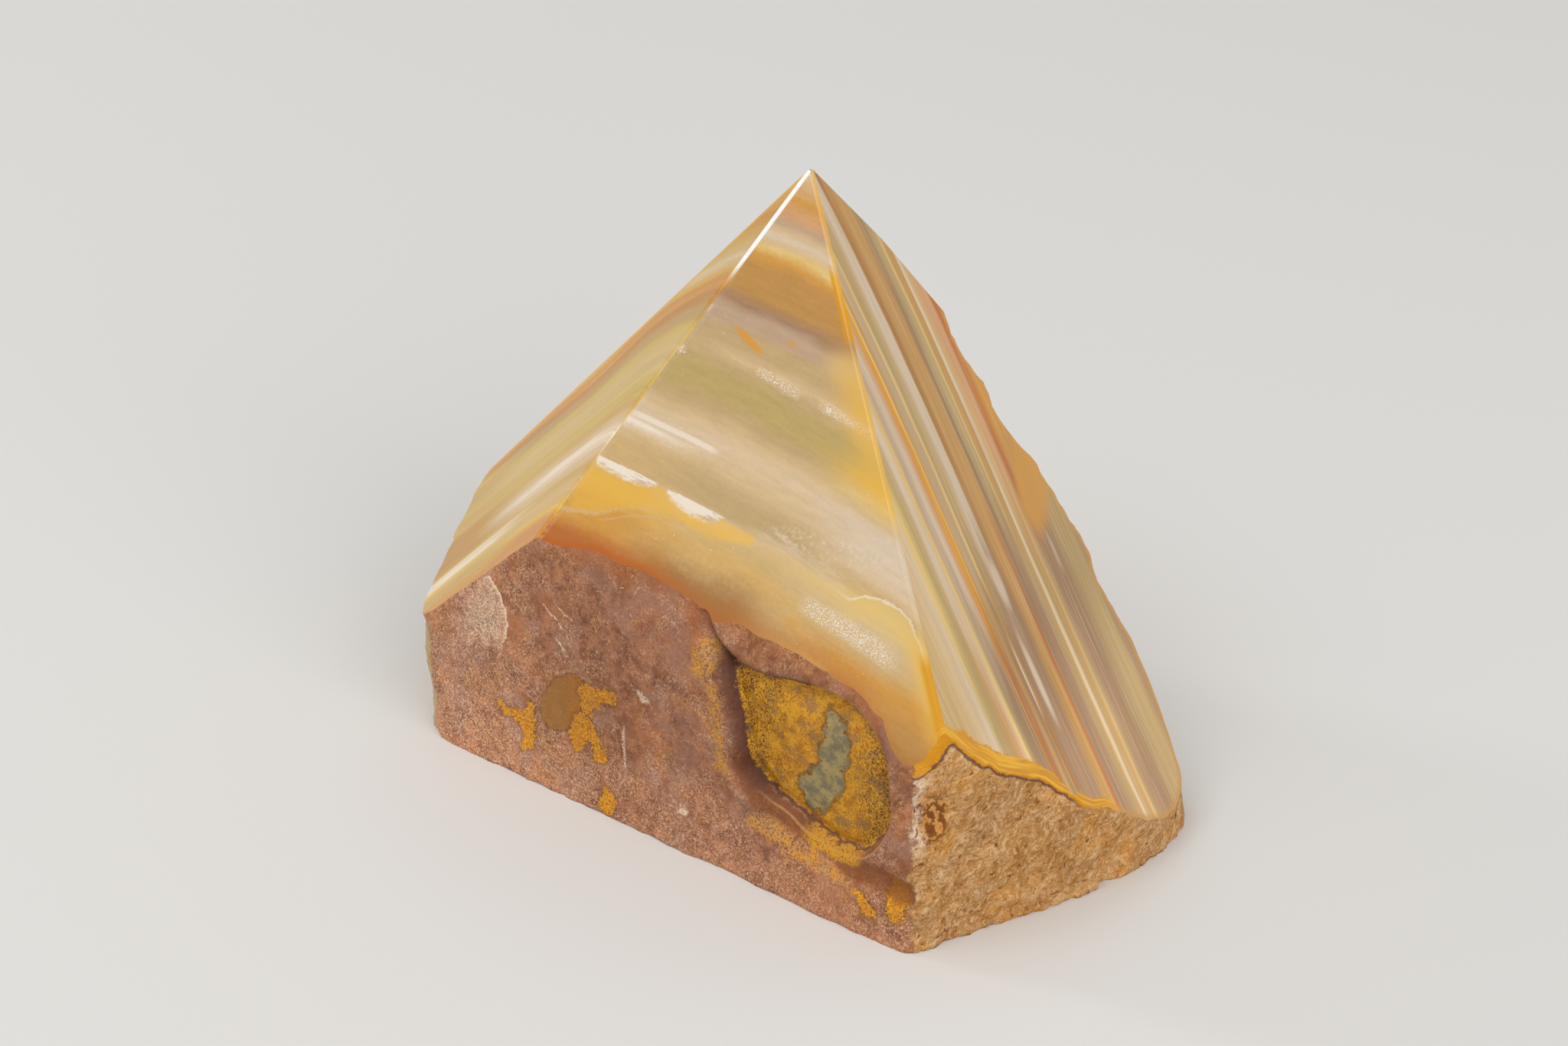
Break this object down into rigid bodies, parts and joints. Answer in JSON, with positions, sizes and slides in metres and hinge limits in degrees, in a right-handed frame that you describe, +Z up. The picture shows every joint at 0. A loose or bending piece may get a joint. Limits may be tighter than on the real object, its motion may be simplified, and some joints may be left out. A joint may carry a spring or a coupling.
{
  "type": "polished agate point",
  "caption": "Banded agate ground to a tapering point with flat polished facets above a rough natural rind, on a flat sawn base.",
  "frame": {"origin": "middle of the footprint, on the sawn base", "axes": "+Z up towards the tip; -Y faces the viewer, with the rind wall to the left and the host rock to the right; +X to the right"},
  "size_m": [0.0798, 0.0694, 0.0656],
  "materials": {
    "agate": "cream, lavender, amber and olive banding polished to a high gloss on the upper facets; mauve-brown rind, ochre crust and granular tan host rock left rough below"
  },
  "bodies": {
    "root": {"agate_point": "agate"}
  },
  "joints": []
}
